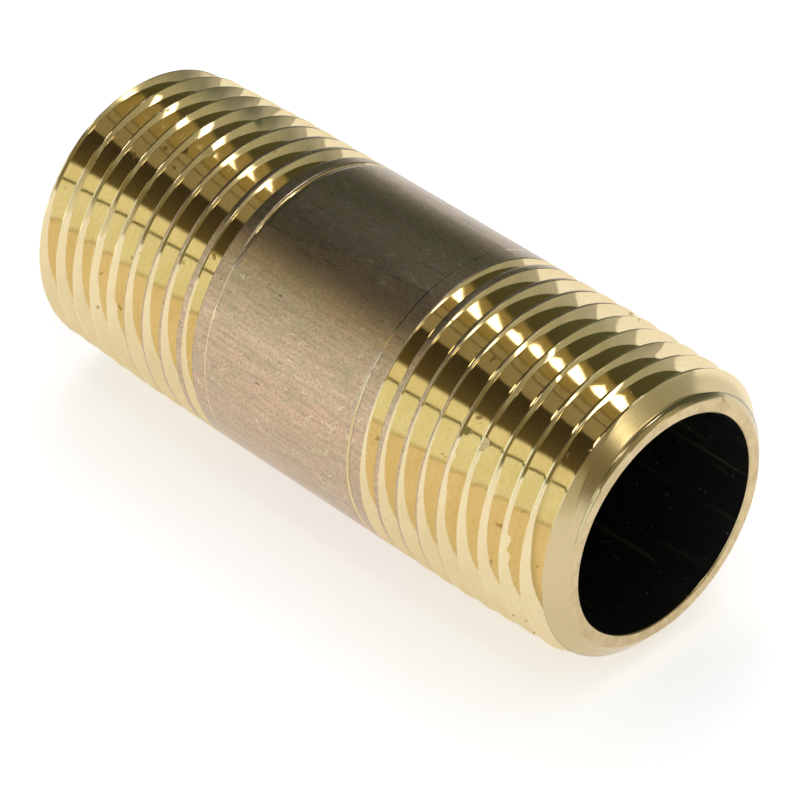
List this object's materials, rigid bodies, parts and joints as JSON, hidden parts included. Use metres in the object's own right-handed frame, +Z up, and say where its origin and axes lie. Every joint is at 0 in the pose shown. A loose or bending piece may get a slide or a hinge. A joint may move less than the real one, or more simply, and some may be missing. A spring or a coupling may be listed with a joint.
{
  "type": "threaded pipe nipple",
  "caption": "Short straight brass pipe nipple, open right through, with a tapered outside pipe thread on each end and a plain barrel between them.",
  "frame": {"origin": "middle of the nipple's length, on its axis", "axes": "+X along the nipple's axis to one end, +Z up as it lies on its side, Y across"},
  "size_m": [0.0508, 0.0214, 0.0214],
  "materials": {
    "brass": "machined bright threads, drawn and lightly tarnished barrel"
  },
  "bodies": {
    "root": {"pipe_nipple": "brass"}
  },
  "joints": []
}
